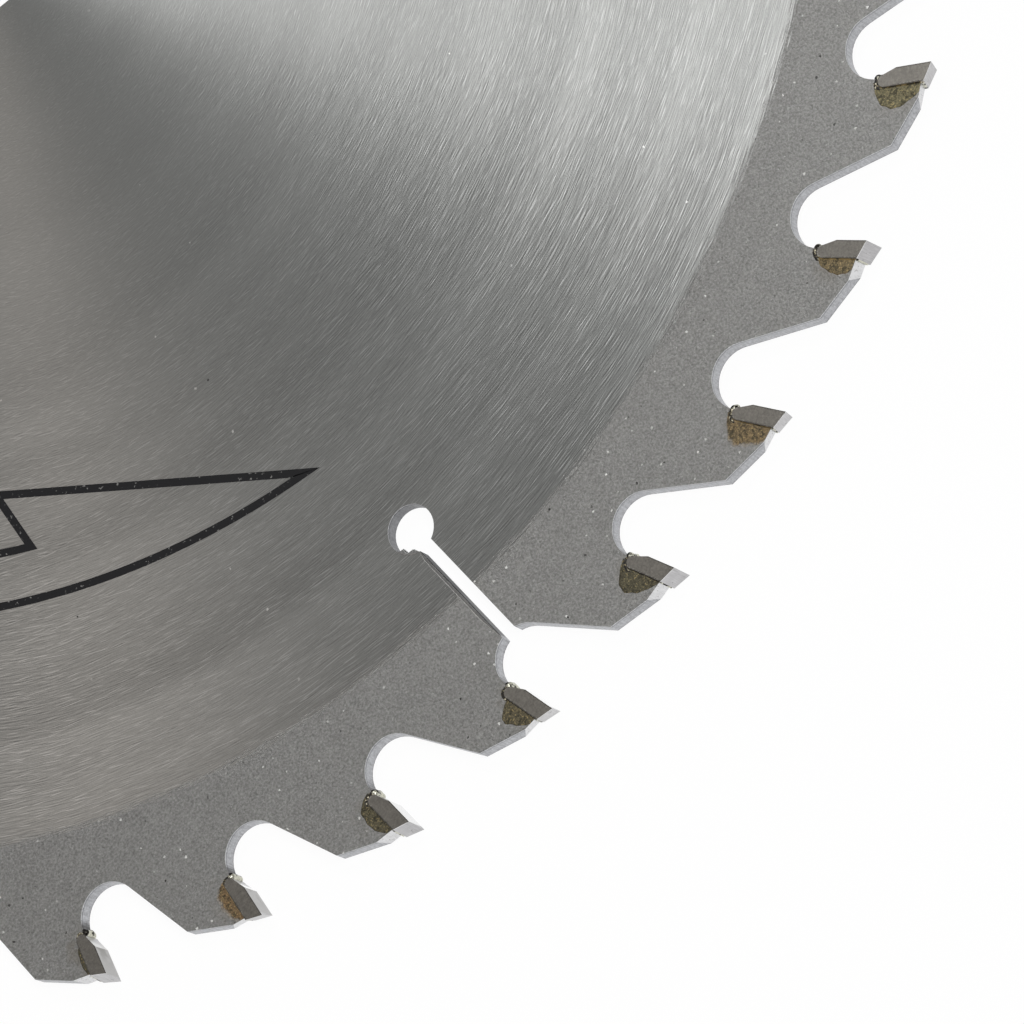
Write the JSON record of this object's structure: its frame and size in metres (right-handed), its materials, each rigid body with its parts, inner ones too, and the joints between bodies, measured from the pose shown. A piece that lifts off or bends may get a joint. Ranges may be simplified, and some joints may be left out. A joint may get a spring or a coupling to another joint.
{
  "type": "circular saw blade",
  "caption": "Flat round saw blade with brazed carbide teeth of alternate bevel, round gullets, slots and an arbor bore.",
  "frame": {"origin": "on the bore's axis, at the height of the lowest tip corners, on which the blade lies", "axes": "+Z along the bore's axis, up; +X through the cutting edge of the first tooth, which has a slot in its gullet"},
  "size_m": [0.184, 0.184, 0.002],
  "materials": {
    "steel_plate": "circular brushing on the disc, matt blasted rim",
    "carbide": "dark matt sides, bright ground tops",
    "braze": "dull solidified braze"
  },
  "bodies": {
    "root": {"blade_body": "steel_plate", "carbide_tip_01": "carbide", "carbide_tip_02": "carbide", "carbide_tip_03": "carbide", "carbide_tip_04": "carbide", "carbide_tip_05": "carbide", "carbide_tip_06": "carbide", "carbide_tip_07": "carbide", "carbide_tip_08": "carbide", "carbide_tip_09": "carbide", "carbide_tip_10": "carbide", "carbide_tip_11": "carbide", "carbide_tip_12": "carbide", "carbide_tip_13": "carbide", "carbide_tip_14": "carbide", "carbide_tip_15": "carbide", "carbide_tip_16": "carbide", "carbide_tip_17": "carbide", "carbide_tip_18": "carbide", "carbide_tip_19": "carbide", "carbide_tip_20": "carbide", "carbide_tip_21": "carbide", "carbide_tip_22": "carbide", "carbide_tip_23": "carbide", "carbide_tip_24": "carbide", "carbide_tip_25": "carbide", "carbide_tip_26": "carbide", "carbide_tip_27": "carbide", "carbide_tip_28": "carbide", "carbide_tip_29": "carbide", "carbide_tip_30": "carbide", "carbide_tip_31": "carbide", "carbide_tip_32": "carbide", "carbide_tip_33": "carbide", "carbide_tip_34": "carbide", "carbide_tip_35": "carbide", "carbide_tip_36": "carbide", "carbide_tip_37": "carbide", "carbide_tip_38": "carbide", "carbide_tip_39": "carbide", "carbide_tip_40": "carbide", "braze_joints": "braze"}
  },
  "joints": []
}
